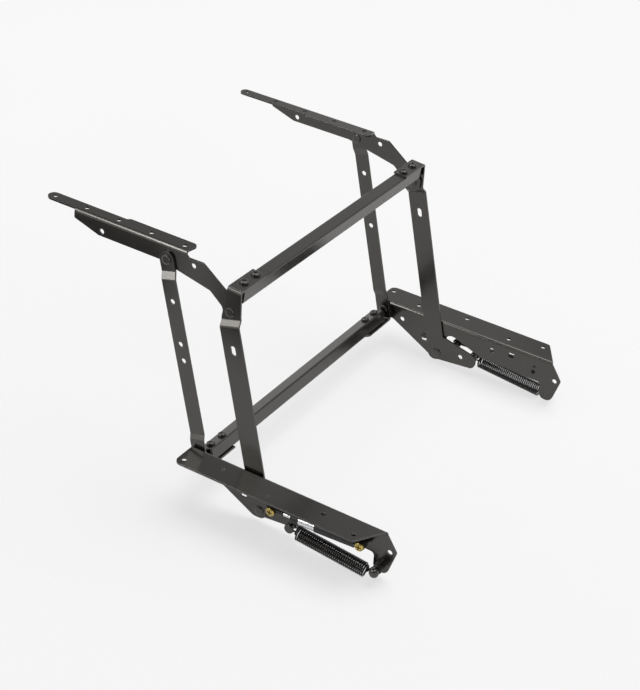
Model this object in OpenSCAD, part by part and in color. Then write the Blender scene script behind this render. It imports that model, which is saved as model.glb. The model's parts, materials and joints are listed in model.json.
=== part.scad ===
// Lift top table mechanism, drawn raised. Two pressed steel base rails carry two pairs
// of arms. The arms lift two top brackets up and towards the front as a parallelogram.
// +X is the right side, +Y runs to the tail of the rails and +Z is up. The origin is the
// middle of the rails' outer corner holes, on the bedding plane under the rail flanges.

/* [Sheet and pivots] */
// Clear width between the inner faces of the two base rails
rail_gap = 472; // [420:1:560]
// Thickness of the pressed steel sheet
sheet = 2.5; // [2:0.1:3]
// Inside radius of the sheet bends
bend_r = 2; // [1:0.1:3]
// Gap between two plates that turn on one pivot
plate_gap = 0.6; // [0.5:0.1:1.2]
// Running clearance of a pin in its hole, on the radius
pin_clear = 0.05; // [0.02:0.01:0.1]
// Free side play left beside a washer or a turning rivet head
side_play = 0.1; // [0.05:0.01:0.2]
// Diameter of the pivot rivets
rivet_d = 8; // [6:0.5:9]
// Diameter of the pivot rivet heads
rivet_head_d = 13; // [11:0.5:16]
// Height of the pivot rivet heads
rivet_head_h = 1.6; // [1.2:0.1:2.6]
// Height of the low rivet heads outside the main top pivots
flush_head_h = 1; // [0.8:0.1:1.6]
// Outside diameter of the pivot washers
washer_d = 18; // [16:0.5:19]

/* [Linkage] */
// Pivot to pivot length of both arms
arm_length = 261; // [230:1:290]
// Angle of the raised arms, measured up from the tail direction
raise_angle = 105.5; // [100:0.5:110]
// Distance of the front pivots ahead of the main pivots
pivot_pitch = 93; // [88:1:105]
// Height of the front pivots above the main pivots
pivot_rise = 37; // [34:0.5:40]
// Depth of the main base pivots below the bedding plane
pivot_drop = 48.5; // [46:0.5:54]
// Distance of the main base pivots ahead of the middle of the rails
pivot_lead = 25; // [18:1:32]

/* [Base rail] */
// Width of the rail flange from the inner face of the web
flange_w = 42.5; // [38:0.5:50]
// Step between the rail flange holes along the rail
hole_pitch = 48; // [44:1:52]
// Diameter of the screw holes in all flanges
screw_hole_d = 6.8; // [5:0.1:7.4]
// Distance of the outer hole row from the flange edge
hole_edge = 11.5; // [8:0.5:13]
// Distance between the outer and the inner hole row
hole_row_step = 12; // [9:0.5:14]
// Radius of the web around the front and main pivots
pivot_lobe = 10.5; // [9.5:0.1:11]
// Slant of the rail flange's tail edge
tail_slant = 30; // [20:1:35]
// Diameter of the plain holes in the webs
web_hole_d = 7; // [5:0.1:8]
// Reach of the bent stop lug from the web
lug_reach = 4.6; // [4:0.1:6]
// Length of a lanced lug along the rail
lug_w = 8; // [6:0.5:10]
// Depth of the window that a lug is lanced from
lug_window_h = 7; // [6:0.1:7.5]

/* [Main arms] */
// Width of the main arms
main_w = 27; // [24:0.5:29]
// Width of the main arms at the top pivot and of their crossbar tabs
main_top_w = 20; // [19:0.5:22]
// Depth of the joggle, towards the middle of the table
main_joggle = 6.5; // [5:0.1:9]
// Distance of the joggle's upper bend below the top pivot
main_joggle_drop = 9.5; // [8:0.5:14]
// Length of the joggle along the main arm
main_joggle_run = 7; // [6:0.5:12]
// Distance of the slot below the top pivot
slot_drop = 47; // [36:0.5:60]
// Length of the slot in the main arm
slot_len = 13; // [10:0.5:18]
// Width of the slot in the main arm
slot_w = 7; // [5:0.1:8]
// Tilt of the upper crossbar, raised front edge positive
upper_bar_tilt = 4; // [0:0.5:8]
// Height of the upper crossbar's middle above the top pivot
upper_bar_rise = 21.2; // [20:0.1:26]
// Radius of the crank's rounded end
crank_end_r = 9; // [8:0.1:10]

/* [Narrow arms] */
// Width of the narrow arms
narrow_w = 20; // [18.5:0.5:22]
// Depth of the lower joggle, towards the middle of the table
low_joggle = 3; // [2:0.1:4]
// Height of the lower joggle's lower bend above the base pivot
low_joggle_rise = 23; // [20:0.5:30]
// Length of the lower joggle along the arm
low_joggle_run = 7.5; // [6:0.5:12]
// Distance of the upper joggle's upper bend below the top pivot
narrow_joggle_drop = 15; // [12:0.5:18]
// Length of the upper joggle along the arm
narrow_joggle_run = 10; // [8:0.5:14]
// Distance of the first plain hole below the top pivot
narrow_hole_drop = 53; // [40:1:60]
// Distance between the first and the second plain hole
narrow_hole_step = 56; // [40:1:64]
// Distance between the second and the third plain hole
narrow_hole_pair = 22; // [14:1:30]
// Depth of the lower crossbar's middle below the base pivot
lower_bar_drop = 5; // [4:0.1:8]

/* [Crossbars] */
// Side of the square crossbar tube
bar_side = 18; // [16:0.1:18.5]
// Corner radius of the crossbar tube
bar_r = 2; // [1.6:0.1:3]
// Wall of the crossbar tube
bar_wall = 1.5; // [1:0.1:2]
// Free length between a crossbar end and the top bracket web
bar_end_gap = 4; // [1:0.5:6]
// Distance of the outer crossbar screw from the crossbar end
bar_screw_edge = 11; // [9:0.5:16]
// Distance between the two crossbar screws of one tab
bar_screw_step = 25; // [18:0.5:30]
// Length of a crossbar tab past its inner screw
tab_end = 9; // [8:0.5:16]

/* [Top bracket] */
// Height of the top bracket's flange above the main top pivot
bracket_rise = 56; // [53:0.5:62]
// Width of the bracket flange's tongue
tongue_w = 16; // [14:0.5:18]
// Extra width of the rear part of the bracket flange
flange_step = 3.5; // [2:0.1:5]
// Distance between the bracket flange holes
bracket_pitch = 48; // [46:0.5:50]
// Distance of the rear bracket flange hole ahead of the main top pivot
bracket_hole_lead = 77.5; // [76:0.5:82]
// Radius of the bracket around the main top pivot
bracket_lobe = 12; // [11:0.1:13]
// Height of the bracket web below the flange
bracket_web_h = 24; // [22:0.5:26]

/* [Springs] */
// Outside diameter of the spring coil
coil_d = 18.8; // [16:0.1:20]
// Diameter of the spring wire
wire_d = 2.3; // [1.8:0.1:2.4]
// Number of turns in one spring
turns = 34; // [26:1:35]
// Distance from the front post to the nearest turn
front_reach = 11; // [10:0.5:13]
// Distance from the rear post to the nearest turn
rear_reach = 14.5; // [13:0.5:17]
// Depth of the coil's front end below the front post
front_sag = 4; // [3:0.1:6]
// Depth of the coil's rear end below the rear post
rear_sag = 8; // [6:0.1:10]
// Reach of the front post behind the main base pivot
post_reach = 52.5; // [46:0.5:54]
// Height of the front post above the main base pivot
post_rise = 7; // [5:0.5:10]
// Distance between the two spring posts along the rail
post_span = 120; // [114:0.5:124]
// Depth of the rear post below the front post
post_fall = 6.5; // [5:0.5:10]
// Diameter of the neck that a spring hook sits on
neck_d = 7.2; // [6.4:0.1:8]
// Diameter of the flat head of the front post
front_head_d = 13; // [11:0.1:13.4]
// Diameter of the round head of the rear post
rear_head_d = 12.4; // [11:0.1:14]
// Height of the flat head of the front post
front_head_h = 3; // [2:0.1:4]
// Height of the round head of the rear post
rear_head_h = 8; // [6:0.1:9]
// Wall of the sleeve that turns on the rear post
sleeve_wall = 1; // [0.6:0.1:1.4]
// Clear distance from the web's outer face to the spring
spring_stand = 1.5; // [1:0.1:3]

/* [Dampers] */
// Distance of the damper's front eye behind the main base pivot
damper_reach = 24.5; // [23:0.5:26]
// Height of the damper's front eye above the main base pivot
damper_rise = 19.5; // [18:0.5:20.5]
// Distance between the damper's eyes along the rail
damper_span = 123.5; // [121:0.5:127]
// Height of the damper's rear eye above its front eye
damper_tail_rise = 7; // [6:0.5:8]
// Diameter of the damper's black cylinder
damper_d = 14; // [12:0.1:14.6]
// Diameter of the damper's bright sleeve
damper_sleeve_d = 12; // [9.5:0.1:12.6]
// Diameter of the damper's piston rod
damper_rod_d = 5; // [4:0.1:6]
// Length of the black cylinder
damper_cylinder_len = 54; // [50:1:56]
// Length of the bright sleeve that shows
damper_sleeve_len = 23; // [18:1:25]
// Length of the damper's end cap
damper_cap_len = 10.5; // [8:0.5:12]
// Diameter of the damper's eyes
damper_eye_d = 12.6; // [11:0.1:13]
// Width of the damper's eyes along the screws
damper_eye_w = 8; // [6:0.5:9]
// Clear distance from the web's outer face to the damper cylinder
damper_stand = 3.6; // [2.5:0.1:4.5]

/* [Fasteners] */
// Diameter of the machine screws
screw_d = 6; // [5:0.5:6]
// Diameter of the crossbar screw heads
screw_head_d = 11; // [10:0.1:12]
// Diameter of the damper screw heads
damper_head_d = 12; // [10:0.1:13]
// Height of the screw heads
screw_head_h = 3.6; // [3:0.1:4]
// Clearance of a fixed screw or post in its hole, on the radius
screw_clear = 0.1; // [0.02:0.01:0.2]
// Width across the flats of the nuts
nut_af = 10; // [9.5:0.1:11]
// Height of the nuts
nut_h = 4; // [3.5:0.1:6]
// Width of the cross recess in the screw heads
recess_w = 1.4; // [1:0.1:1.8]

/* [Hidden] */

round_fn = 48;
arc_steps = 6;

steel = "#1d1d1f";
zinc = "#b9a45a";
bright = "#c9cbce";
nylon = "#e6e2d6";

// Planes along X on the right side: inner face of each plate
web_x = rail_gap / 2;
web_out_x = web_x + sheet;
low_x = web_x - plate_gap - sheet;
mid_x = low_x - low_joggle;
top_x = low_x - main_joggle;
bracket_x = top_x - plate_gap - sheet;
flange_x = web_x + flange_w;
hole_x = flange_x - hole_edge;
bar_x = bracket_x - bar_end_gap;
screw_x = [bar_x - bar_screw_edge, bar_x - bar_screw_edge - bar_screw_step];
tab_x = screw_x[1] - tab_end;

// Pivots and posts as [y, z] in the raised pose
lean = raise_angle - 90;
arm_run = arm_length * [cos(raise_angle), sin(raise_angle)];
base_main = [-pivot_lead, -pivot_drop];
base_front = base_main + [-pivot_pitch, pivot_rise];
top_main = base_main + arm_run;
top_front = base_front + arm_run;
post_front = base_main + [post_reach, post_rise];
post_rear = post_front + [post_span, -post_fall];
damper_front = base_main + [damper_reach, damper_rise];
damper_rear = damper_front + [damper_span, damper_tail_rise];

// Ends of the rail and of its hole rows
row_half = 2.5 * hole_pitch;
inner_row_half = 1.5 * hole_pitch;
rail_edge = 8;
rail_front = -max(row_half + rail_edge, -base_front[0] + pivot_lobe - sheet / 2);
tail_edge = 5.25;
tail_out_y = row_half + tail_edge;
tail_in_y = tail_out_y + flange_w * tan(tail_slant);
flange_corner_r = 9;
tail_corner_r = 6;
web_bottom = post_rear[1] - pivot_lobe - 1;

// Outline fillets of the rail web
web_fillet = 8;
ear_fillet = 5;
chin_run = 16;
notch_rise = 13.5;
notch_lead = -1.5;
notch_run = 14;
notch_end_rise = 10;
ear_run = 11.5;
ear_toe = 8;
ear_slope = 3;
ear_hole = post_rear + [8.5, 23];
ear_edge = [9, 2];
front_web_hole = base_front + [31, -6.5];
middle_web_hole = base_main + [82, 35];
web_holes = [front_web_hole, middle_web_hole, ear_hole];
pilot_hole_d = 4;
pilot_rise = 8;
foot_inset = 1;

// Crossbar tabs
upper_tab_w = upper_bar_rise + bar_side / 2;
lower_tab_v = -lower_bar_drop - bar_side / 2;
upper_bar_shift = 1.5;
lower_bar_shift = -1;
joggle_land = 2.5;

// Outline of the crank behind the main base pivot
crank_toe = 2;
crank_shoulder = [12.5, 7.5];
crank_root = 9.5;
crank_hole_lead = 15;

// Spring: mean radii, post stack along X and the lift from the rear to the front post
coil_r = (coil_d - wire_d) / 2;
spring_x = web_out_x + spring_stand + coil_d / 2;
neck_slack = 2.5;
neck_half = wire_d / 2 + neck_slack;
hook_gap = 0.3;
hook_r = neck_d / 2 + hook_gap + wire_d / 2;
hook_tip = 75;
spigot_d = neck_d - 1.6;
collar_d = neck_d + 2.8;
spring_run = norm(post_front - post_rear);
spring_angle = atan2(post_front[1] - post_rear[1], post_front[0] - post_rear[0]);
lead_in = 3;
coil_len = spring_run - front_reach - rear_reach;

// Damper: run between its eyes and stations along it from the rear eye
damper_x = web_out_x + damper_stand + damper_d / 2;
damper_run = norm(damper_front - damper_rear);
damper_angle = atan2(damper_front[1] - damper_rear[1], damper_front[0] - damper_rear[0]);
eye_neck = 8;
eye_neck_d = damper_eye_w - 1.6;
tube_s = eye_neck + damper_cylinder_len;
cap_s = tube_s + damper_sleeve_len;
rod_s = cap_s + damper_cap_len;
piston_len = 6;
piston_s = tube_s - 12;
bore_d = damper_sleeve_d - 2.4;
rod_end_len = 16;
spacer_d = 9;
open_pivot_gap = 0.3;

nut_bore = screw_d / 2 + screw_clear;
screw_tip = 1;

function unit(v) = v / norm(v);

// Points of the arc that rounds corner b between a and c
function corner(a, b, c, r) =
    r <= 0 ? [b] :
    let (
        u = unit(a - b),
        w = unit(c - b),
        half = acos(u * w) / 2,
        m = b + unit(u + w) * r / sin(half),
        p = b + u * r / tan(half) - m,
        q = b + w * r / tan(half) - m,
        start = atan2(p[1], p[0]),
        sweep = sign(cross(p, q)) * (180 - 2 * half)
    )
    [for (i = [0:arc_steps]) m + r * [cos(start + sweep * i / arc_steps), sin(start + sweep * i / arc_steps)]];

// Outline from corners given as [x, y] or [x, y, fillet radius]
function rounded(pts) =
    let (n = len(pts), xy = [for (p = pts) [p[0], p[1]]])
    [for (i = [0:n - 1])
        each corner(xy[(i + n - 1) % n], xy[i], xy[(i + 1) % n], len(pts[i]) > 2 ? pts[i][2] : 0)];

function left_normal(a, b) = let (d = unit(b - a)) [-d[1], d[0]];

function miter(path, i) =
    let (n = len(path))
    i == 0 ? left_normal(path[0], path[1]) :
    i == n - 1 ? left_normal(path[n - 2], path[n - 1]) :
    let (a = left_normal(path[i - 1], path[i]), b = left_normal(path[i], path[i + 1])) (a + b) / (1 + a * b);

function turn(path, i) =
    i == 0 || i == len(path) - 1 ? 0 : sign(cross(path[i] - path[i - 1], path[i + 1] - path[i]));

// Section of a bent sheet whose middle follows a path
function bent_sheet(path) =
    let (n = len(path))
    rounded(concat(
        [for (i = [0:n - 1])
            let (p = path[i] + miter(path, i) * sheet / 2, t = turn(path, i))
            [p[0], p[1], t == 0 ? 0 : bend_r + (t > 0 ? 0 : sheet)]],
        [for (i = [n - 1:-1:0])
            let (p = path[i] - miter(path, i) * sheet / 2, t = turn(path, i))
            [p[0], p[1], t == 0 ? 0 : bend_r + (t > 0 ? sheet : 0)]]
    ));

// Mirrored copy for the left side
module left() mirror([1, 0, 0]) children();
module right() children();

// Moves into the frame of an arm or damper that starts at [y, z] and runs along an angle
module at(yz, turn_deg = 0) translate([0, yz[0], yz[1]]) rotate([turn_deg, 0, 0]) children();

// Extrudes an outline drawn as [y, z] from x0 to x1
module along_x(x0, x1) translate([x0, 0, 0]) rotate([90, 0, 90]) linear_extrude(x1 - x0) children();

// Extrudes a section drawn as [x, z] from y0 to y1
module along_y(y0, y1) translate([0, y1, 0]) rotate([90, 0, 0]) linear_extrude(y1 - y0) children();

// Round bar along X
module rod_x(x0, x1, d) translate([x0, 0, 0]) rotate([0, 90, 0]) cylinder(h = x1 - x0, d = d, $fn = round_fn);

// Hole along X through the plate from x0 to x1
module hole_x_at(yz, x0, x1, d) at(yz) rod_x(x0 - 1, x1 + 1, d);

module flange_hole(x, y, z)
    translate([x, y, z - 1]) cylinder(h = sheet + 2, d = screw_hole_d, $fn = round_fn);

// Low head of a rivet that stands out along X, its flat side at x0
module rivet_head(x0, out, height = rivet_head_h) {
    translate([x0, 0, 0])
        rotate([0, 90 * out, 0]) {
            cylinder(h = height / 2, d = rivet_head_d, $fn = round_fn);
            translate([0, 0, height / 2])
                cylinder(h = height / 2, d1 = rivet_head_d, d2 = rivet_head_d * 0.7, $fn = round_fn);
        }
}

// Pan head with a cross recess, its flat side on the plane z = 0
module pan_head(head_d) {
    difference() {
        rotate_extrude($fn = round_fn)
            polygon(rounded([[0, 0], [head_d / 2, 0], [head_d / 2, screw_head_h, screw_head_h * 0.6],
                [0, screw_head_h]]));
        for (a = [0, 90])
            rotate([0, 0, a])
                translate([-head_d * 0.3, -recess_w / 2, screw_head_h * 0.45])
                    cube([head_d * 0.6, recess_w, screw_head_h]);
    }
}

module web_outline() {
    lobe = base_main + [pivot_lobe, -pivot_lobe];
    top_z = -bend_r;
    notch_z = damper_front[1] + notch_rise;
    polygon(rounded([
        [rail_front, top_z],
        [rail_front, base_front[1] - pivot_lobe, web_fillet],
        [base_front[0] + chin_run, base_front[1] - pivot_lobe, web_fillet],
        [base_main[0] - web_fillet, lobe[1], web_fillet],
        [lobe[0], lobe[1], pivot_lobe - 1],
        [lobe[0], notch_z, web_fillet],
        [damper_front[0] + notch_lead, notch_z, web_fillet],
        [post_front[0] + notch_run, post_front[1] + notch_end_rise, web_fillet],
        [post_rear[0] - ear_run, post_front[1] + notch_end_rise - ear_slope, ear_fillet],
        [post_rear[0] - pivot_lobe, post_rear[1] - pivot_lobe, pivot_lobe - 1],
        [post_rear[0] + ear_toe, post_rear[1] - pivot_lobe, pivot_lobe - 1],
        [ear_hole[0] + ear_edge[0], ear_hole[1] + ear_edge[1], ear_fillet],
        [tail_in_y, top_z]
    ]));
}

module flange_outline() {
    polygon(rounded([
        [web_x, rail_front],
        [flange_x, rail_front, flange_corner_r],
        [flange_x, tail_out_y, tail_corner_r],
        [web_x, tail_in_y]
    ]));
}

// Lanced lugs: y is the rear end. The stop's window is cut under it, the rest's above it
stop_rise = 19;
stop_z = base_main[1] + stop_rise;
stop_y = base_main[0] - stop_rise * tan(lean) - main_w / 2 / cos(lean) - open_pivot_gap;
rest_y = base_main[0] + 116;
rest_z = base_main[1] + 35;

module base_rail() {
    mid = web_x + sheet / 2;
    section = bent_sheet([[mid, web_bottom], [mid, sheet / 2], [flange_x, sheet / 2]]);
    color(steel)
        difference() {
            union() {
                intersection() {
                    along_y(rail_front - 1, tail_in_y + 40) polygon(section);
                    union() {
                        along_x(web_x - 1, web_out_x + 1) web_outline();
                        translate([0, 0, -bend_r]) linear_extrude(bend_r + sheet) flange_outline();
                    }
                }
                translate([web_x - lug_reach, stop_y - lug_w, stop_z - sheet])
                    cube([lug_reach + sheet / 2, lug_w, sheet]);
                translate([web_x + sheet / 2, rest_y - lug_w, rest_z - sheet])
                    cube([lug_reach + sheet / 2, lug_w, sheet]);
            }
            for (k = [-1, 0, 1])
                flange_hole(hole_x, k * row_half, 0);
            for (k = [-1, 1])
                flange_hole(hole_x - hole_row_step, k * inner_row_half, 0);
            for (p = [base_main, base_front])
                hole_x_at(p, web_x, web_out_x, rivet_d + 2 * pin_clear);
            for (p = web_holes)
                hole_x_at(p, web_x, web_out_x, web_hole_d);
            hole_x_at(post_rear, web_x, web_out_x, spigot_d + 2 * screw_clear);
            hole_x_at(damper_rear, web_x, web_out_x, screw_d + 2 * screw_clear);
            hole_x_at(damper_rear + [0, pilot_rise], web_x, web_out_x, pilot_hole_d);
            translate([web_x - 1, stop_y - lug_w, stop_z - sheet - lug_window_h])
                cube([sheet + 2, lug_w, lug_window_h]);
            translate([web_x - 1, rest_y - lug_w, rest_z])
                cube([sheet + 2, lug_w, lug_window_h]);
        }
}

module crank_outline() {
    post = post_front - base_main;
    eye = damper_front - base_main;
    polygon(rounded([
        [-pivot_lobe / 2, -pivot_lobe],
        [post[0] + crank_end_r, post[1] - crank_end_r - crank_toe, crank_end_r],
        [post[0] + crank_end_r, post[1] + crank_end_r - 1, crank_end_r - 1],
        [eye[0] - crank_shoulder[0], eye[1] + crank_shoulder[1]],
        [-pivot_lobe / 2, eye[1] + crank_root]
    ]));
}

// Main arm up to the upper bend of its joggle, as [across, along] from the base pivot
module main_arm_outline() {
    half = main_w / 2;
    land = arm_length - main_joggle_drop + joggle_land;
    polygon(rounded([
        [-half, -pivot_lobe, pivot_lobe],
        [half, -pivot_lobe, pivot_lobe],
        [half, land],
        [half - joggle_land, land + joggle_land],
        [joggle_land - half, land + joggle_land],
        [-half, land]
    ]));
}

// Leg that tapers from the joggle to the crossbar tab, in the tilted frame of the crossbar
module main_leg_outline() {
    neck = main_top_w / 2;
    skew = lean + upper_bar_tilt;
    low = joggle_land - main_joggle_drop;
    foot = [for (h = [-main_w / 2, main_w / 2])
        [h * cos(skew) - low * sin(skew), h * sin(skew) + low * cos(skew)]];
    bend_w = upper_tab_w - bend_r;
    polygon([
        foot[0],
        foot[1],
        [upper_bar_shift + neck, bend_w],
        [upper_bar_shift + neck, upper_tab_w + 2 * sheet],
        [upper_bar_shift - neck, upper_tab_w + 2 * sheet],
        [upper_bar_shift - neck, bend_w]
    ]);
}

module main_arm() {
    low = low_x + sheet / 2;
    top = top_x + sheet / 2;
    bend_v = arm_length - main_joggle_drop;
    strip = bent_sheet([
        [low, -main_w],
        [low, bend_v - main_joggle_run],
        [top, bend_v],
        [top, arm_length + main_w]
    ]);
    tab_w = upper_tab_w + sheet / 2;
    leg = bent_sheet([[top, -main_w], [top, tab_w], [tab_x, tab_w]]);
    color(steel)
        difference() {
            union() {
                at(base_main, lean)
                    intersection() {
                        along_y(-main_w, main_w) polygon(strip);
                        along_x(top_x - 1, low_x + sheet + 1) main_arm_outline();
                    }
                at(base_main)
                    along_x(low_x, low_x + sheet) crank_outline();
                at(top_main, -upper_bar_tilt)
                    intersection() {
                        along_y(-main_w, main_w) polygon(leg);
                        along_x(tab_x - 1, top_x + sheet + 1) main_leg_outline();
                    }
            }
            hole_x_at(base_main, low_x, low_x + sheet, rivet_d + 2 * pin_clear);
            hole_x_at(top_main, top_x, top_x + sheet, rivet_d + 2 * pin_clear);
            hole_x_at(post_front, low_x, low_x + sheet, spigot_d + 2 * screw_clear);
            hole_x_at(post_front - [crank_hole_lead, 0], low_x, low_x + sheet, web_hole_d);
            at(base_main, lean)
                translate([0, 0, arm_length - slot_drop])
                    slot();
            upper_bar_screws_at()
                cylinder(h = 2 * bar_side, d = screw_d + 2 * screw_clear, center = true, $fn = round_fn);
        }
}

module slot() {
    span = slot_len - slot_w;
    for (k = [-1, 1])
        translate([0, 0, k * span / 2])
            rod_x(low_x - 1, low_x + sheet + 1, slot_w);
    translate([low_x - 1, -slot_w / 2, -span / 2])
        cube([sheet + 2, slot_w, span]);
}

module narrow_arm() {
    low = low_x + sheet / 2;
    mid = mid_x + sheet / 2;
    top = top_x + sheet / 2;
    upper_v = arm_length - narrow_joggle_drop;
    tab_v = lower_tab_v - sheet / 2;
    strip = bent_sheet([
        [tab_x, tab_v], [low, tab_v],
        [low, low_joggle_rise], [mid, low_joggle_rise + low_joggle_run],
        [mid, upper_v - narrow_joggle_run], [top, upper_v], [top, arm_length + narrow_w]
    ]);
    half = narrow_w / 2;
    hole_v = arm_length - narrow_hole_drop;
    color(steel)
        difference() {
            at(base_front, lean)
                intersection() {
                    along_y(-narrow_w, narrow_w) polygon(strip);
                    along_x(tab_x - 1, low_x + sheet + 1)
                        polygon(rounded([
                            [-half, tab_v - sheet], [half, tab_v - sheet],
                            [half, arm_length + half, half - 0.5], [-half, arm_length + half, half - 0.5]
                        ]));
                }
            hole_x_at(base_front, low_x, low_x + sheet, rivet_d + 2 * pin_clear);
            hole_x_at(top_front, top_x, top_x + sheet, rivet_d + 2 * pin_clear);
            at(base_front, lean)
                for (v = [hole_v, hole_v - narrow_hole_step, hole_v - narrow_hole_step - narrow_hole_pair])
                    hole_x_at([0, v], mid_x, mid_x + sheet, web_hole_d);
            lower_bar_screws_at()
                cylinder(h = 2 * bar_side, d = screw_d + 2 * screw_clear, center = true, $fn = round_fn);
        }
}

// Places of the crossbar screws of one side: the middle of the tube, z along the screw
module upper_bar_screws_at() {
    at(top_main, -upper_bar_tilt)
        for (x = screw_x)
            translate([x, upper_bar_shift, upper_bar_rise]) children();
}

module lower_bar_screws_at() {
    at(base_front, lean)
        for (x = screw_x)
            translate([x, lower_bar_shift, -lower_bar_drop]) children();
}

module both_sides() {
    children();
    mirror([1, 0, 0]) children();
}

module tube_section() {
    half = bar_side / 2;
    inner = half - bar_wall;
    inner_r = bar_r - bar_wall + 0.5;
    difference() {
        polygon(rounded([for (c = [[-1, -1], [1, -1], [1, 1], [-1, 1]]) [c[0] * half, c[1] * half, bar_r]]));
        polygon(rounded([for (c = [[-1, -1], [1, -1], [1, 1], [-1, 1]])
            [c[0] * inner, c[1] * inner, inner_r]]));
    }
}

module upper_crossbar() {
    color(steel)
        difference() {
            at(top_main, -upper_bar_tilt)
                translate([0, upper_bar_shift, upper_bar_rise])
                    along_x(-bar_x, bar_x) tube_section();
            both_sides() upper_bar_screws_at()
                cylinder(h = 2 * bar_side, d = screw_d + 2 * screw_clear, center = true, $fn = round_fn);
        }
}

module lower_crossbar() {
    color(steel)
        difference() {
            at(base_front, lean)
                translate([0, lower_bar_shift, -lower_bar_drop])
                    along_x(-bar_x, bar_x) tube_section();
            both_sides() lower_bar_screws_at()
                cylinder(h = 2 * bar_side, d = screw_d + 2 * screw_clear, center = true, $fn = round_fn);
        }
}

// Screw through tube and tab: head seat and nut seat measured from the tube's middle
module bar_screw(head_seat, nut_seat) {
    tip = nut_seat - nut_h - screw_tip;
    color(steel) {
        translate([0, 0, head_seat]) pan_head(screw_head_d);
        translate([0, 0, tip]) cylinder(h = head_seat - tip, d = screw_d, $fn = round_fn);
    }
}

module bar_nut(nut_seat) {
    color(steel)
        translate([0, 0, nut_seat - nut_h])
            difference() {
                cylinder(h = nut_h, d = nut_af / cos(30), $fn = 6);
                translate([0, 0, -1]) cylinder(h = nut_h + 2, r = nut_bore, $fn = round_fn);
            }
}

module upper_crossbar_screws()
    both_sides() upper_bar_screws_at() bar_screw(bar_side / 2 + sheet, -bar_side / 2);
module upper_crossbar_nuts() both_sides() upper_bar_screws_at() bar_nut(-bar_side / 2);
module lower_crossbar_screws()
    both_sides() lower_bar_screws_at() bar_screw(bar_side / 2, -bar_side / 2 - sheet);
module lower_crossbar_nuts() both_sides() lower_bar_screws_at() bar_nut(-bar_side / 2 - sheet);

// Bracket places are measured from its end holes, its flange and the main top pivot
nose_lead = 37.5;
nose_depth = 12.5;
nose_run = 37;
nose_hole = [41.5, 17.5];
tail_lead = 10;
tail_slope = 3.5;
tail_hole = [56.5, 16];
step_lead = 106;
step_run = 4;
tongue_inset = 3;
tongue_tip = 9.5;
pivot_cover = 12;
throat = [-31.5, 16.5];
lobe_front = 1.5;
lobe_rise = 8.5;
back_edge = [-43.5, 7.5];
bracket_rear_hole = -bracket_hole_lead;
bracket_front_hole = bracket_rear_hole - 4 * bracket_pitch;
bracket_tail = bracket_rear_hole + tail_lead;
bracket_nose = bracket_front_hole + nose_lead;
tongue_out_x = bracket_x + sheet - tongue_inset;
tongue_in_x = tongue_out_x - tongue_w;
tongue_mid_x = tongue_out_x - tongue_w / 2;
flange_step_y = bracket_front_hole + step_lead;
web_low_z = bracket_rise - bracket_web_h;
front_pivot = [-pivot_pitch, pivot_rise];

module bracket_web_outline() {
    top_z = bracket_rise - sheet - bend_r;
    polygon(rounded([
        [bracket_nose, top_z],
        [bracket_nose, bracket_rise - nose_depth, bend_r],
        [bracket_nose + nose_run, web_low_z, ear_fillet - 1],
        [front_pivot[0] - pivot_cover, web_low_z, web_fillet],
        [throat[0], throat[1], web_fillet],
        [-bracket_lobe - lobe_front, bend_r, web_fillet],
        [-bracket_lobe + 2 * lobe_front, -bracket_lobe, bracket_lobe - 4],
        [bracket_lobe, -bracket_lobe, bracket_lobe - 1],
        [bracket_lobe, lobe_rise, web_fillet],
        [back_edge[0], bracket_rise - back_edge[1], ear_fillet],
        [bracket_tail + tail_slope, top_z - tail_slope, tail_slope - 0.5],
        [bracket_tail, top_z]
    ]));
}

module bracket_flange_outline() {
    polygon(rounded([
        [bracket_x + sheet, bracket_nose],
        [bracket_x + sheet, bracket_tail],
        [tongue_in_x - flange_step, bracket_tail + tail_slope, 2 * tail_slope],
        [tongue_in_x - flange_step, flange_step_y, step_run - 1],
        [tongue_in_x, flange_step_y - step_run, step_run - 1],
        [tongue_in_x, bracket_front_hole - tongue_tip, tongue_w / 2 - 0.5],
        [tongue_out_x, bracket_front_hole - tongue_tip, tongue_w / 2 - 0.5],
        [tongue_out_x, bracket_nose]
    ]));
}

module top_bracket() {
    mid = bracket_x + sheet / 2;
    flange_z = bracket_rise - sheet / 2;
    inner_x = tongue_in_x - 2 * flange_step;
    section = bent_sheet([[mid, -2 * bracket_lobe], [mid, flange_z], [inner_x, flange_z]]);
    color(steel)
        at(top_main)
            difference() {
                intersection() {
                    along_y(bracket_front_hole - tongue_w, 2 * bracket_lobe) polygon(section);
                    union() {
                        along_x(bracket_x - 1, bracket_x + sheet + 1) bracket_web_outline();
                        translate([0, 0, bracket_rise - sheet - bend_r])
                            linear_extrude(sheet + bend_r) bracket_flange_outline();
                    }
                }
                for (k = [0:4])
                    flange_hole(tongue_mid_x, bracket_front_hole + k * bracket_pitch, bracket_rise - sheet);
                for (p = [[0, 0], front_pivot])
                    hole_x_at(p, bracket_x, bracket_x + sheet, rivet_d + 2 * pin_clear);
                for (p = [[bracket_nose + nose_hole[0], bracket_rise - nose_hole[1]],
                    [-tail_hole[0], bracket_rise - tail_hole[1]]])
                    hole_x_at(p, bracket_x, bracket_x + sheet, web_hole_d);
            }
}

// Rivets: the head on the plate that they are set in touches, the other keeps the side play
module base_rivets() {
    color(steel)
        for (p = [base_main, base_front])
            at(p) {
                rod_x(low_x - side_play, web_out_x, rivet_d);
                rivet_head(web_out_x, 1);
                rivet_head(low_x - side_play, -1);
            }
}

module top_rivets() {
    color(steel)
        for (p = [[top_main, flush_head_h], [top_front, rivet_head_h]])
            at(p[0]) {
                rod_x(bracket_x, top_x + sheet + side_play, rivet_d);
                rivet_head(top_x + sheet + side_play, 1, p[1]);
                rivet_head(bracket_x, -1);
            }
}

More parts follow.
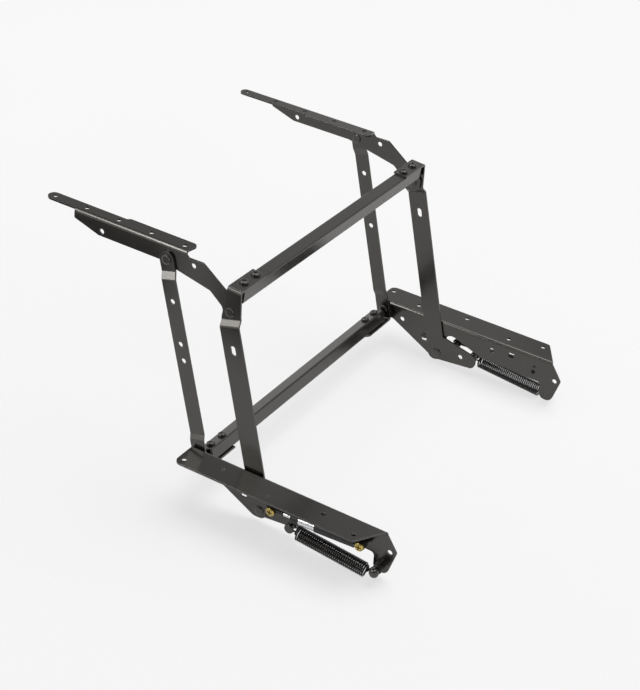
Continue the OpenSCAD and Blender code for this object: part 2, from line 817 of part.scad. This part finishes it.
module washer(x0) {
    color(nylon)
        difference() {
            rod_x(x0 + side_play, x0 + plate_gap - side_play, washer_d);
            rod_x(x0 - 1, x0 + plate_gap + 1, rivet_d + 2 * pin_clear);
        }
}

module base_washers() for (p = [base_main, base_front]) at(p) washer(low_x + sheet);
module top_washers() for (p = [top_main, top_front]) at(p) washer(bracket_x + sheet);

// Spring post: spigot through its plate, collar, neck for the hook and a rounded head
module spring_post(plate_x, waist_d, head_d, head_h) {
    neck_x = spring_x - neck_half;
    head_x = spring_x + neck_half;
    color(steel) {
        rod_x(plate_x, plate_x + sheet, spigot_d);
        rod_x(plate_x + sheet, neck_x, collar_d);
        rod_x(neck_x, head_x, waist_d);
        translate([head_x, 0, 0])
            rotate([0, 90, 0])
                rotate_extrude($fn = round_fn)
                    polygon(rounded([
                        [0, 0],
                        [head_d / 2, 0, head_h * 0.36],
                        [head_d / 2, head_h, head_h * 0.5],
                        [0, head_h]
                    ]));
    }
}

module spring_front_post() at(post_front) spring_post(low_x, neck_d, front_head_d, front_head_h);
module spring_rear_post() {
    waist_d = neck_d - 2 * sleeve_wall - 2 * pin_clear;
    at(post_rear) spring_post(web_x, waist_d, rear_head_d, rear_head_h);
}

module spring_sleeve() {
    color(nylon)
        at(post_rear)
            difference() {
                rod_x(spring_x - neck_half + side_play, spring_x + neck_half - side_play, neck_d);
                rod_x(spring_x - neck_half - 1, spring_x + neck_half + 1, neck_d - 2 * sleeve_wall);
            }
}

// Wire path in the spring's own frame: [x, along the run from the rear post, up].
// The rear hook leaves its post over the top and the front hook under the bottom
hook_steps = 10;
lead_steps = 3;
spiral_steps = 6;
turn_steps = 8;
// Angle above the run at which the wire leaves its neck straight for the middle of the coil's end
function leave_angle(over, reach, sag) =
    let (run = reach - lead_in)
    atan2(-over * sag, run) + acos(hook_r / norm([run, sag]));
function hook_point(t, over, leave) =
    let (a = -over * (hook_tip + (360 - leave - hook_tip) * t))
    [0, hook_r * cos(a), hook_r * sin(a)];
function lead_point(t, over, reach, sag, leave) =
    let (start = hook_point(1, over, leave))
    start + t * ([0, reach - lead_in, -sag] - start);
function spiral_point(t, reach, sag) =
    let (a = 90 - 270 * (1 - t), r = coil_r * sin(90 * t))
    [r * sin(a), reach - lead_in * (1 - t), -sag + r * cos(a)];
function coil_point(k) =
    let (a = 90 + (turns - 0.5) * 360 * k)
    [coil_r * sin(a), rear_reach + coil_len * k, coil_r * cos(a) - rear_sag - (front_sag - rear_sag) * k];
function half_end(over, reach, sag) =
    let (leave = leave_angle(over, reach, sag))
    concat(
        [for (i = [0:hook_steps - 1]) hook_point(i / hook_steps, over, leave)],
        [for (i = [0:lead_steps - 1]) lead_point(i / lead_steps, over, reach, sag, leave)],
        [for (i = [0:spiral_steps - 1]) spiral_point(i / spiral_steps, reach, sag)]
    );
function flipped(p) = [-p[0], spring_run - p[1], p[2]];
coil_steps = round((turns - 0.5) * turn_steps);
rear_end = half_end(1, rear_reach, rear_sag);
front_end = half_end(-1, front_reach, front_sag);
spring_path = concat(
    rear_end,
    [for (i = [0:coil_steps]) coil_point(i / coil_steps)],
    [for (i = [len(front_end) - 1:-1:0]) flipped(front_end[i])]
);

function tangent(path, i) = unit(path[min(i + 1, len(path) - 1)] - path[max(i - 1, 0)]);
function square_to(v, t) = unit(v - t * (v * t));
wire_sides = 6;
function wire_ring(p, u, t) = [for (k = [0:wire_sides - 1])
    p + wire_d / 2 * (cos(360 * k / wire_sides) * u + sin(360 * k / wire_sides) * cross(t, u))];

// Tube along a path, its rings carried on without twist, with flat ends
module wire(path) {
    n = len(path);
    rings = [for (i = 0, u = square_to([1, 0, 0], tangent(path, 0));
        i < n;
        i = i + 1, u = i < n ? square_to(u, tangent(path, i)) : u)
            each wire_ring(path[i], u, tangent(path, i))];
    sides = [for (i = [0:n - 2], k = [0:wire_sides - 1])
        let (a = i * wire_sides + k, b = i * wire_sides + (k + 1) % wire_sides)
        each [[a, a + wire_sides, b], [b, a + wire_sides, b + wire_sides]]];
    last = (n - 1) * wire_sides;
    ends = [for (k = [1:wire_sides - 2]) each [[0, k, k + 1], [last, last + k + 1, last + k]]];
    polyhedron(points = rings, faces = concat(sides, ends), convexity = 10);
}

module spring() {
    color(steel)
        translate([spring_x, post_rear[0], post_rear[1]])
            rotate([spring_angle - 180, 0, 0])
                mirror([0, 1, 0])
                    wire(spring_path);
}

// Least gap of the spring wire to itself, between points half a turn or more apart
spring_gap = min([for (i = [0:len(spring_path) - 1], j = [i + turn_steps / 2 : 1 : len(spring_path) - 1])
    norm(spring_path[i] - spring_path[j])]) - wire_d;
echo(spring_gap = spring_gap);

// Damper pieces lie along +Y of their own frame, from the rear eye at its origin
module on_damper() translate([damper_x, 0, 0]) at(damper_rear, damper_angle) children();
module along_damper(s0, s1, d)
    translate([0, s0, 0]) rotate([-90, 0, 0]) cylinder(h = s1 - s0, d = d, $fn = round_fn);
module eye(hole_d) {
    difference() {
        rod_x(-damper_eye_w / 2, damper_eye_w / 2, damper_eye_d);
        rod_x(-damper_eye_w, damper_eye_w, hole_d);
    }
}

module damper_cylinder() {
    color(steel)
        on_damper() {
            difference() {
                union() {
                    eye(screw_d + 2 * pin_clear);
                    along_damper(damper_eye_d / 2 - 1, eye_neck + 1, eye_neck_d);
                    along_damper(eye_neck, tube_s, damper_d);
                }
                along_damper(piston_s - 2, tube_s + 1, bore_d);
                rod_x(-damper_eye_w, damper_eye_w, screw_d + 2 * pin_clear);
            }
        }
}

module damper_tube() {
    color(bright)
        on_damper()
            difference() {
                along_damper(tube_s, cap_s, damper_sleeve_d);
                along_damper(tube_s - 1, cap_s + 1, bore_d);
            }
}

module damper_cap() {
    color(steel)
        on_damper()
            difference() {
                along_damper(cap_s, rod_s, damper_d);
                along_damper(cap_s - 1, rod_s + 1, damper_rod_d + 2 * pin_clear);
            }
}

module damper_rod() {
    color(bright)
        on_damper() {
            along_damper(piston_s, piston_s + piston_len, bore_d - 2 * pin_clear);
            along_damper(piston_s, damper_run - rod_end_len, damper_rod_d);
        }
}

module damper_rod_end() {
    color(steel)
        on_damper()
            difference() {
                union() {
                    translate([0, damper_run, 0]) eye(screw_d + 2 * screw_clear);
                    along_damper(damper_run - rod_end_len, damper_run - damper_eye_d / 2 + 1, eye_neck_d);
                }
                translate([0, damper_run, 0]) rod_x(-damper_eye_w, damper_eye_w, screw_d + 2 * screw_clear);
            }
}

// Shoulder screw of a damper eye, its foot on the plane x = foot_x
module damper_screw(foot_x, shoulder_x) {
    eye_out = damper_x + damper_eye_w / 2 + side_play;
    eye_in = damper_x - damper_eye_w / 2 - side_play;
    color(zinc) {
        rod_x(foot_x, eye_out, screw_d);
        rod_x(shoulder_x, eye_in, spacer_d);
        translate([eye_out, 0, 0]) rotate([0, 90, 0]) pan_head(damper_head_d);
    }
}

module damper_front_screw() {
    foot = low_x + sheet + open_pivot_gap;
    at(damper_front) damper_screw(foot, foot);
}
module damper_rear_screw() at(damper_rear) damper_screw(web_x + foot_inset, web_out_x);

upper_crossbar();
upper_crossbar_screws();
upper_crossbar_nuts();
lower_crossbar();
lower_crossbar_screws();
lower_crossbar_nuts();
left() base_rail();  // left_base_rail
right() base_rail();  // right_base_rail
left() main_arm();  // left_main_arm
right() main_arm();  // right_main_arm
left() narrow_arm();  // left_narrow_arm
right() narrow_arm();  // right_narrow_arm
left() top_bracket();  // left_top_bracket
right() top_bracket();  // right_top_bracket
left() base_rivets();  // left_base_rivets
right() base_rivets();  // right_base_rivets
left() top_rivets();  // left_top_rivets
right() top_rivets();  // right_top_rivets
left() base_washers();  // left_base_washers
right() base_washers();  // right_base_washers
left() top_washers();  // left_top_washers
right() top_washers();  // right_top_washers
left() spring();  // left_spring
right() spring();  // right_spring
left() spring_front_post();  // left_spring_front_post
right() spring_front_post();  // right_spring_front_post
left() spring_rear_post();  // left_spring_rear_post
right() spring_rear_post();  // right_spring_rear_post
left() spring_sleeve();  // left_spring_sleeve
right() spring_sleeve();  // right_spring_sleeve
left() damper_cylinder();  // left_damper_cylinder
right() damper_cylinder();  // right_damper_cylinder
left() damper_tube();  // left_damper_tube
right() damper_tube();  // right_damper_tube
left() damper_cap();  // left_damper_cap
right() damper_cap();  // right_damper_cap
left() damper_rod();  // left_damper_rod
right() damper_rod();  // right_damper_rod
left() damper_rod_end();  // left_damper_rod_end
right() damper_rod_end();  // right_damper_rod_end
left() damper_front_screw();  // left_damper_front_screw
right() damper_front_screw();  // right_damper_front_screw
left() damper_rear_screw();  // left_damper_rear_screw
right() damper_rear_screw();  // right_damper_rear_screw
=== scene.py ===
import json
import math

import bmesh
import bpy
from mathutils import Matrix, Vector


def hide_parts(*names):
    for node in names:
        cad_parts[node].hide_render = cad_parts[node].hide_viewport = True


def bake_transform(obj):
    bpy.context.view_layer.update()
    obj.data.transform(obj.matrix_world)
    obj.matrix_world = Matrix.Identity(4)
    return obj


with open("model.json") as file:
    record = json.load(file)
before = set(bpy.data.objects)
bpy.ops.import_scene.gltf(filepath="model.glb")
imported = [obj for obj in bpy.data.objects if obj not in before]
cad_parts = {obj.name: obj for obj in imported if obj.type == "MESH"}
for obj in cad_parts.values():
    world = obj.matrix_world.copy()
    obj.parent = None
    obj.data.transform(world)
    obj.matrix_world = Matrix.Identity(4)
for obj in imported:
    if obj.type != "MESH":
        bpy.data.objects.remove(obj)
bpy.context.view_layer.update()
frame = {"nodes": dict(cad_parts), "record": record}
NODES = frame["nodes"]
scene = bpy.context.scene
MM = 0.001


# Helpers for node materials

MIX_A, MIX_B, MIX_RESULT = 6, 7, 2  # the colour sockets of a Mix node
MOST, MIDDLE = (0.3, 0.7), (0.35, 0.65)  # the parts of a noise's range that are used
EDGE_DOT = (0.98, 0.80)  # from an open face's normal to a sharp edge's
BEVEL_SAMPLES, RECESS_SHADE_SAMPLES = 6, 8


def new_material(name):
    """A node material, its tree, its principled shader and its object coordinates."""
    mat = bpy.data.materials.new(name)
    mat.use_nodes = True
    tree = mat.node_tree
    coords = tree.nodes.new("ShaderNodeTexCoord")
    return mat, tree, tree.nodes["Principled BSDF"], coords.outputs["Object"]


def feed(tree, value, socket):
    """Links an output to a socket, or sets the socket to a number or a colour."""
    if isinstance(value, bpy.types.NodeSocket):
        tree.links.new(value, socket)
    else:
        socket.default_value = (*value, 1.0) if isinstance(value, tuple) else value


def noise(tree, vector, scale, detail, rough=0.55, stretch=None):
    if stretch is not None:
        mapping = tree.nodes.new("ShaderNodeMapping")
        mapping.inputs["Scale"].default_value = stretch
        tree.links.new(vector, mapping.inputs["Vector"])
        vector = mapping.outputs["Vector"]
    node = tree.nodes.new("ShaderNodeTexNoise")
    for socket, value in (("Vector", vector), ("Scale", scale), ("Detail", detail), ("Roughness", rough)):
        feed(tree, value, node.inputs[socket])
    return node.outputs["Fac"]


def span(tree, value, used, to=(0.0, 1.0)):
    """Maps the used range of a value to another range, clamped."""
    node = tree.nodes.new("ShaderNodeMapRange")
    for socket, limit in zip(("From Min", "From Max", "To Min", "To Max"), (*used, *to)):
        node.inputs[socket].default_value = limit
    tree.links.new(value, node.inputs["Value"])
    return node.outputs["Result"]


def blend_colors(tree, factor, a, b):
    node = tree.nodes.new("ShaderNodeMix")
    node.data_type = "RGBA"
    tree.links.new(factor, node.inputs["Factor"])
    feed(tree, a, node.inputs[MIX_A])
    feed(tree, b, node.inputs[MIX_B])
    return node.outputs[MIX_RESULT]


def math_node(tree, kind, *values):
    node = tree.nodes.new("ShaderNodeMath")
    node.operation = kind
    for value, socket in zip(values, node.inputs):
        feed(tree, value, socket)
    return node.outputs[0]


def lighter(color, gain, lift):
    return tuple(min(1.0, c * gain + lift) for c in color)


def rounded_normal(tree, radius):
    """Normals that turn over along sharp edges, as a small radius would."""
    node = tree.nodes.new("ShaderNodeBevel")
    node.samples = BEVEL_SAMPLES
    node.inputs["Radius"].default_value = radius
    return node.outputs["Normal"]


def edge_mask(tree, rounded):
    """1 along sharp edges, 0 on open faces."""
    geometry = tree.nodes.new("ShaderNodeNewGeometry")
    dot = tree.nodes.new("ShaderNodeVectorMath")
    dot.operation = "DOT_PRODUCT"
    tree.links.new(rounded, dot.inputs[0])
    tree.links.new(geometry.outputs["Normal"], dot.inputs[1])
    return span(tree, dot.outputs["Value"], EDGE_DOT)


def bump(tree, shader, rounded, heights):
    """Chains bump nodes for (height, strength, distance in metres) on the rounded normals."""
    last = rounded
    for height, strength, distance in heights:
        node = tree.nodes.new("ShaderNodeBump")
        node.inputs["Strength"].default_value = strength
        node.inputs["Distance"].default_value = distance
        tree.links.new(height, node.inputs["Height"])
        tree.links.new(last, node.inputs["Normal"])
        last = node.outputs["Normal"]
    tree.links.new(last, shader.inputs["Normal"])


# Finishes. Edge radii are in millimetres, noise scales per metre.

WARM_SHEEN = (1.0, 0.96, 0.9)
SHANK_COLOR = (0.02, 0.019, 0.017)
LEAST_WEAR_AND_HIGHLIGHT = 0.2
RECESS_SHADE_REACH, RECESS_SHADE_LEVEL = 2.5, 0.12


def coated_steel(name, dark, light, rough, wear_and_highlight=0.5, peel=0.03, edge=0.6, ior=1.75):
    """Black coat on steel: mottled tone, fine orange peel, faint rubs, edges lighter from wear and a painted
    highlight, and a warm sheen.
    """
    mat, tree, shader, at = new_material(name)
    rounded = rounded_normal(tree, edge * MM)
    broad = noise(tree, at, scale=14.0, detail=3.0)
    fine = noise(tree, at, scale=900.0, detail=3.0)
    rub = noise(tree, at, scale=60.0, detail=5.0, rough=0.7, stretch=(1.0, 0.18, 1.0))
    tone = blend_colors(tree, span(tree, broad, MIDDLE), dark, light)
    # Edges are painted lighter where the coat is rubbed: partly wear, partly a painted highlight along the
    # rounded edges
    wear_and_highlight_amount = span(tree, rub, used=(0.4, 0.65), to=(LEAST_WEAR_AND_HIGHLIGHT, wear_and_highlight))
    wear_and_highlight_edges = math_node(tree, "MULTIPLY", edge_mask(tree, rounded), wear_and_highlight_amount)
    wear_and_highlight_color = lighter(light, gain=3.2, lift=0.02)
    tree.links.new(blend_colors(tree, wear_and_highlight_edges, tone, wear_and_highlight_color), shader.inputs["Base Color"])
    gloss = span(tree, rub, used=(0.3, 0.75), to=(rough - 0.02, rough + 0.03))
    gloss = math_node(tree, "ADD", gloss, span(tree, fine, MOST, to=(-0.01, 0.01)))
    tree.links.new(gloss, shader.inputs["Roughness"])
    bump(tree, shader, rounded, [(fine, peel, 0.05 * MM), (broad, 0.015, 0.6 * MM)])
    shader.inputs["Specular Tint"].default_value = (*WARM_SHEEN, 1.0)
    shader.inputs["IOR"].default_value = ior
    return mat


def plated_steel(name, color, shade, rough, turned=(1.0, 1.0, 1.0), edge=0.4, head_x=None):
    """Bare or plated metal with drawing lines, a cloudy tint and a painted highlight along sharp edges; if
    head_x is given, painted shade in recesses and a dark colour below head_x.
    """
    mat, tree, shader, at = new_material(name)
    rounded = rounded_normal(tree, edge * MM)
    cloud = noise(tree, at, scale=120.0, detail=4.0)
    lines = noise(tree, at, scale=700.0, detail=3.0, rough=0.6, stretch=turned)
    tone = blend_colors(tree, span(tree, cloud, MOST), color, shade)
    # Painted highlight: sharp edges are painted lighter than the faces
    tone = blend_colors(tree, edge_mask(tree, rounded), tone, lighter(color, gain=1.25, lift=0.03))
    if head_x is not None:
        # Painted shade: the tone darkens in recesses, such as the cross of a screw head, where shade falls
        recess_shade_ao = tree.nodes.new("ShaderNodeAmbientOcclusion")
        recess_shade_ao.samples = RECESS_SHADE_SAMPLES
        recess_shade_ao.inputs["Distance"].default_value = RECESS_SHADE_REACH * MM
        painted_recess_shade = tuple(c * RECESS_SHADE_LEVEL for c in shade)
        tone = blend_colors(tree, span(tree, recess_shade_ao.outputs["AO"], used=(0.35, 0.9)), painted_recess_shade, tone)
        place = tree.nodes.new("ShaderNodeSeparateXYZ")
        tree.links.new(at, place.inputs[0])
        across = math_node(tree, "ABSOLUTE", place.outputs["X"])
        on_head = math_node(tree, "GREATER_THAN", across, head_x * MM)
        tone = blend_colors(tree, on_head, SHANK_COLOR, tone)
    tree.links.new(tone, shader.inputs["Base Color"])
    tree.links.new(span(tree, lines, MOST, to=(rough - 0.03, rough + 0.05)), shader.inputs["Roughness"])
    bump(tree, shader, rounded, [(lines, 0.05, 0.03 * MM)])
    shader.inputs["Metallic"].default_value = 1.0
    return mat


def moulded_plastic(name, dark, light, rough, edge=0.5):
    """Dull moulded plastic with a fine grain."""
    mat, tree, shader, at = new_material(name)
    grain = noise(tree, at, scale=1400.0, detail=3.0)
    cloud = noise(tree, at, scale=90.0, detail=3.0)
    tree.links.new(blend_colors(tree, span(tree, cloud, MIDDLE), dark, light), shader.inputs["Base Color"])
    tree.links.new(span(tree, grain, MOST, to=(rough - 0.06, rough + 0.06)), shader.inputs["Roughness"])
    bump(tree, shader, rounded_normal(tree, edge * MM), [(grain, 0.12, 0.04 * MM)])
    return mat


MATERIALS = {
    "black_steel": coated_steel(
        "coated_sheet", (0.006, 0.0058, 0.0055), (0.0095, 0.009, 0.0085), rough=0.21),
    "black_fasteners": coated_steel(
        "coated_fasteners", (0.006, 0.006, 0.006), (0.0095, 0.009, 0.0085), rough=0.22, wear_and_highlight=0.6),
    "spring_steel": coated_steel(
        "oiled_wire", (0.003, 0.003, 0.003), (0.006, 0.006, 0.006), rough=0.17, wear_and_highlight=0.2, peel=0.01,
        edge=0.2, ior=1.42),
    "yellow_zinc": plated_steel(
        "yellow_zinc", (0.56, 0.4, 0.11), (0.36, 0.3, 0.11), rough=0.13, head_x=252.5),
    "bright_steel": plated_steel(
        "bright_steel", (0.74, 0.75, 0.76), (0.66, 0.67, 0.68), rough=0.3, turned=(1.0, 0.08, 1.0)),
    "black_plastic": moulded_plastic(
        "damper_plastic", (0.009, 0.009, 0.009), (0.016, 0.016, 0.016), rough=0.42),
    "nylon": moulded_plastic(
        "dark_nylon", (0.02, 0.02, 0.021), (0.035, 0.035, 0.036), rough=0.5),
}

# Every CAD node keeps its mesh and gets its material

SLOT_OF = {s["node"]: s["material_slot"] for s in frame["record"]["subparts"]}
for name, obj in NODES.items():
    obj.data.materials.clear()
    obj.data.materials.append(MATERIALS[SLOT_OF[name]])

# Springs: round wire along the path of the solids, with the source's values in millimetres and degrees

COIL_D, WIRE_D, TURNS = 18.8, 2.3, 34
FRONT_REACH, REAR_REACH = 11.0, 14.5
FRONT_SAG, REAR_SAG = 4.0, 8.0
NECK_D, HOOK_GAP, HOOK_TIP = 7.2, 0.3, 75.0
LEAD_IN, SPIRAL_TURN = 3.0, 270
WEB_OUT_X, SPRING_STAND = 238.5, 1.5
POST_FRONT = Vector((0.0, 27.5, -41.5))
POST_REAR = Vector((0.0, 147.5, -48.0))
HOOK_R = NECK_D / 2 + HOOK_GAP + WIRE_D / 2
COIL_R = (COIL_D - WIRE_D) / 2
SPRING_X = WEB_OUT_X + SPRING_STAND + COIL_D / 2
RUN = (POST_FRONT - POST_REAR).length
COIL_LEN = RUN - FRONT_REACH - REAR_REACH
RINGS_PER_TURN, WIRE_SIDES = 24, 12
HOOK_STEPS, LEAD_STEPS, SPIRAL_STEPS = 22, 14, 18
TIP_BULGE = 0.35


def hook_end(over, reach, sag):
    """Free tip, hook round the neck, lead to the middle of the coil's end and spiral out to its turns."""
    middle = Vector((0, reach - LEAD_IN, -sag))
    leave = math.degrees(math.atan2(-over * sag, reach - LEAD_IN) + math.acos(HOOK_R / middle.length))
    points = []
    for i in range(HOOK_STEPS + 1):
        a = math.radians(-over * (HOOK_TIP + (360 - leave - HOOK_TIP) * i / HOOK_STEPS))
        points.append(Vector((0, HOOK_R * math.cos(a), HOOK_R * math.sin(a))))
    start = points.pop()
    for i in range(LEAD_STEPS):
        points.append(start.lerp(middle, i / LEAD_STEPS))
    for i in range(SPIRAL_STEPS):
        t = i / SPIRAL_STEPS
        a = math.radians(90 - SPIRAL_TURN * (1 - t))
        r = COIL_R * math.sin(math.radians(90 * t))
        points.append(Vector((r * math.sin(a), reach - LEAD_IN * (1 - t), -sag + r * math.cos(a))))
    return points


def spring_path():
    """Wire points as (across, along from the rear post, up)."""
    steps = int(round((TURNS - 0.5) * RINGS_PER_TURN))
    coil = []
    for i in range(steps + 1):
        k = i / steps
        a = math.radians(90 + (TURNS - 0.5) * 360 * k)
        sag = REAR_SAG + (FRONT_SAG - REAR_SAG) * k
        coil.append(Vector((COIL_R * math.sin(a), REAR_REACH + COIL_LEN * k, COIL_R * math.cos(a) - sag)))
    rear = hook_end(1, REAR_REACH, REAR_SAG)
    front = [Vector((-p.x, RUN - p.y, p.z)) for p in reversed(hook_end(-1, FRONT_REACH, FRONT_SAG))]
    return rear + coil + front


def tube_mesh(name, path, radius, sides):
    """Round wire along a path, its rings carried on without twist, with rounded ends."""
    mesh = bpy.data.meshes.new(name)
    bm = bmesh.new()
    count = len(path)
    tangents = [(path[min(i + 1, count - 1)] - path[max(i - 1, 0)]).normalized() for i in range(count)]
    u = Vector((1, 0, 0))
    rings = []
    for p, t in zip(path, tangents):
        u = (u - t * u.dot(t)).normalized()
        w = t.cross(u)
        rings.append([bm.verts.new(p + radius * (math.cos(a) * u + math.sin(a) * w))
                      for a in (2 * math.pi * k / sides for k in range(sides))])
    for a, b in zip(rings, rings[1:]):
        for k in range(sides):
            bm.faces.new((a[k], a[(k + 1) % sides], b[(k + 1) % sides], b[k]))
    for ring, point, out in ((rings[0], path[0], -tangents[0]), (rings[-1], path[-1], tangents[-1])):
        tip = bm.verts.new(point + out * radius * TIP_BULGE)
        for k in range(sides):
            bm.faces.new((ring[k], ring[(k + 1) % sides], tip))
    bmesh.ops.recalc_face_normals(bm, faces=bm.faces)
    for f in bm.faces:
        f.smooth = True
    bm.to_mesh(mesh)
    bm.free()
    return mesh


along_run = (POST_FRONT - POST_REAR).normalized()
up_run = Vector((0, along_run.z, -along_run.y))
wires = []
for side, sign in (("right", 1), ("left", -1)):
    points = []
    for p in spring_path():
        q = POST_REAR + along_run * p.y + up_run * p.z
        points.append(Vector((sign * (SPRING_X + p.x), q.y, q.z)) * MM)
    wire_mesh = tube_mesh(f"{side}_spring_wire", points, WIRE_D / 2 * MM, WIRE_SIDES)
    wire = bpy.data.objects.new(f"{side}_spring_wire", wire_mesh)
    scene.collection.objects.link(wire)
    wire.data.materials.append(MATERIALS["spring_steel"])
    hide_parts(f"{side}_spring")
    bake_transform(wire)
    wires.append(wire)

# Floor and backdrop. The floor is a pale pane over a white ground, so that what hangs lower than the floor
# when the linkage folds still shows through it.

FLOOR_Z, FLOOR_HALF = -0.0662, 6.0
GROUND_Z, GROUND_HALF = -0.125, 8.0
SWEEP_R, SWEEP_H, SWEEP_SIDES = 5.8, 2.2, 72
PANE_COLORS = ((0.925, 0.925, 0.925), (0.93, 0.93, 0.93))
WHITE_COLORS = ((0.944, 0.944, 0.944), (0.949, 0.949, 0.949))
CLEAR_FROM, CLEAR_SHARE = (0.4, 1.1), (0.7, 0.95)  # distance from the middle, and the pane's clearness there
PAPER_CLOUD, MATT, PANE_SPECULAR = 3.0, 0.9, 0.1


def stage_piece(name, mesh, mat):
    obj = bpy.data.objects.new(name, mesh)
    scene.collection.objects.link(obj)
    obj.data.materials.append(mat)
    return obj


def square_mesh(name, half, z):
    mesh = bpy.data.meshes.new(name)
    corners = [(x * half, y * half, z) for x, y in ((-1, -1), (1, -1), (1, 1), (-1, 1))]
    mesh.from_pydata(corners, [], [(0, 1, 2, 3)])
    return mesh


def clouded(tree, at, scale, colors):
    return blend_colors(tree, span(tree, noise(tree, at, scale, detail=2.0), MOST), *colors)


white_mat, white_tree, spare, white_at = new_material("studio_white")
white_tree.nodes.remove(spare)
glow = white_tree.nodes.new("ShaderNodeEmission")
white_tree.links.new(clouded(white_tree, white_at, PAPER_CLOUD, WHITE_COLORS), glow.inputs["Color"])
white_tree.links.new(glow.outputs[0], white_tree.nodes["Material Output"].inputs["Surface"])

floor_mat, floor_tree, pane, floor_at = new_material("studio_floor")
pane.inputs["Roughness"].default_value = MATT
pane.inputs["Specular IOR Level"].default_value = PANE_SPECULAR
floor_tree.links.new(clouded(floor_tree, floor_at, PAPER_CLOUD, PANE_COLORS), pane.inputs["Base Color"])
path = floor_tree.nodes.new("ShaderNodeLightPath")
seen = math_node(floor_tree, "MAXIMUM", path.outputs["Is Camera Ray"], path.outputs["Is Glossy Ray"])
seen = math_node(floor_tree, "MAXIMUM", seen, path.outputs["Is Transmission Ray"])
reach = floor_tree.nodes.new("ShaderNodeVectorMath")
reach.operation = "LENGTH"
floor_tree.links.new(floor_at, reach.inputs[0])
share = span(floor_tree, reach.outputs["Value"], CLEAR_FROM, CLEAR_SHARE)
clear = floor_tree.nodes.new("ShaderNodeBsdfTransparent")
mixed = floor_tree.nodes.new("ShaderNodeMixShader")
floor_tree.links.new(math_node(floor_tree, "MULTIPLY", seen, share), mixed.inputs[0])
floor_tree.links.new(pane.outputs[0], mixed.inputs[1])
floor_tree.links.new(clear.outputs[0], mixed.inputs[2])
floor_tree.links.new(mixed.outputs[0], floor_tree.nodes["Material Output"].inputs["Surface"])

stage_piece("floor", square_mesh("floor", FLOOR_HALF, FLOOR_Z), floor_mat)
stage_piece("ground", square_mesh("ground", GROUND_HALF, GROUND_Z), white_mat)

sweep_mesh = bpy.data.meshes.new("backdrop")
sweep = bmesh.new()
turns = [2 * math.pi * k / SWEEP_SIDES for k in range(SWEEP_SIDES)]
low, high = ([sweep.verts.new((SWEEP_R * math.cos(a), SWEEP_R * math.sin(a), z)) for a in turns]
             for z in (GROUND_Z, FLOOR_Z + SWEEP_H))
for k in range(SWEEP_SIDES):
    n = (k + 1) % SWEEP_SIDES
    sweep.faces.new((low[k], low[n], high[n], high[k]))
sweep.to_mesh(sweep_mesh)
sweep.free()
backdrop = stage_piece("backdrop", sweep_mesh, white_mat)
backdrop.visible_diffuse = False
backdrop.visible_shadow = False

# Light

WORLD_LEVEL = 0.37
LIGHT_AIM = Vector((0.0, -0.1, 0.05))

world = bpy.data.worlds.new("studio")
world.use_nodes = True
world.node_tree.nodes["Background"].inputs["Color"].default_value = (1.0, 1.0, 1.0, 1.0)
world.node_tree.nodes["Background"].inputs["Strength"].default_value = WORLD_LEVEL
scene.world = world


def area_light(name, location, width, length, power, only_gloss=False):
    """An oval soft light aimed at the object, its length in a plane of X and Z."""
    data = bpy.data.lights.new(name, "AREA")
    data.shape = "ELLIPSE"
    data.size = width
    data.size_y = length
    data.energy = power
    obj = bpy.data.objects.new(name, data)
    obj.visible_camera = False
    obj.visible_diffuse = not only_gloss
    away = (Vector(location) - LIGHT_AIM).normalized()
    lengthwise = Vector((-away.z, 0.0, away.x)).normalized()
    axes = Matrix((lengthwise.cross(away), lengthwise, away)).transposed().to_4x4()
    obj.matrix_world = Matrix.Translation(location) @ axes
    scene.collection.objects.link(obj)
    return obj


area_light("top", (-1.0, 0.2, 3.6), width=3.4, length=3.4, power=105.0)
area_light("left", (-1.5, -0.68, 1.1), width=0.8, length=0.8, power=0.3)
area_light("front", (1.55, -2.4, 2.05), width=1.5, length=1.5, power=24.0, only_gloss=True)
area_light("strip", (2.4, -1.74, 2.35), width=0.5, length=3.2, power=52.0, only_gloss=True)
low_light = area_light("front_low", (2.45, -2.02, 0.79), width=1.1, length=1.1, power=34.0, only_gloss=True)
low_lit = bpy.data.collections.new("low_lit")
for obj in (NODES["right_narrow_arm"], NODES["left_narrow_arm"], *wires):
    low_lit.objects.link(obj)
low_light.light_linking.receiver_collection = low_lit

# Two low black flags on the floor that only show in reflections, as set up beside glossy black goods

FLAG_X, FLAG_TOP = 0.57, 0.06
FLAG_SPANS = ((-0.8, -0.405), (-0.328, 0.2))
FLAG_COLORS, FLAG_WEAVE = ((0.01, 0.01, 0.01), (0.02, 0.02, 0.02)), 400.0

flag_mat, flag_tree, flag_shader, flag_at = new_material("flag_cloth")
flag_tree.links.new(clouded(flag_tree, flag_at, FLAG_WEAVE, FLAG_COLORS), flag_shader.inputs["Base Color"])
flag_shader.inputs["Roughness"].default_value = MATT
flag_mesh = bpy.data.meshes.new("flag")
flag_corners = [(FLAG_X, y, z) for start, end in FLAG_SPANS
                for y, z in ((start, FLOOR_Z), (end, FLOOR_Z), (end, FLAG_TOP), (start, FLAG_TOP))]
flag_mesh.from_pydata(flag_corners, [], [(0, 1, 2, 3), (4, 5, 6, 7)])
flag = stage_piece("flag", flag_mesh, flag_mat)
flag.visible_camera = False
flag.visible_diffuse = False
flag.visible_shadow = False

# Camera at the photograph's place, its axes as right, up and back

CAMERA_AT = (1.68132, 0.78856, 1.21046)
CAMERA_AXES = ((-0.51252, 0.85337, 0.09526), (-0.40764, -0.33945, 0.84770), (0.75574, 0.39564, 0.52185))
SENSOR_HEIGHT, LENS = 36.0, 88.06

camera_data = bpy.data.cameras.new("camera")
camera_data.sensor_fit = "VERTICAL"
camera_data.sensor_height = SENSOR_HEIGHT
camera_data.lens = LENS
camera = bpy.data.objects.new("camera", camera_data)
camera.matrix_world = Matrix.Translation(CAMERA_AT) @ Matrix(CAMERA_AXES).transposed().to_4x4()
scene.collection.objects.link(camera)
scene.camera = camera
scene.view_settings.view_transform = "Standard"
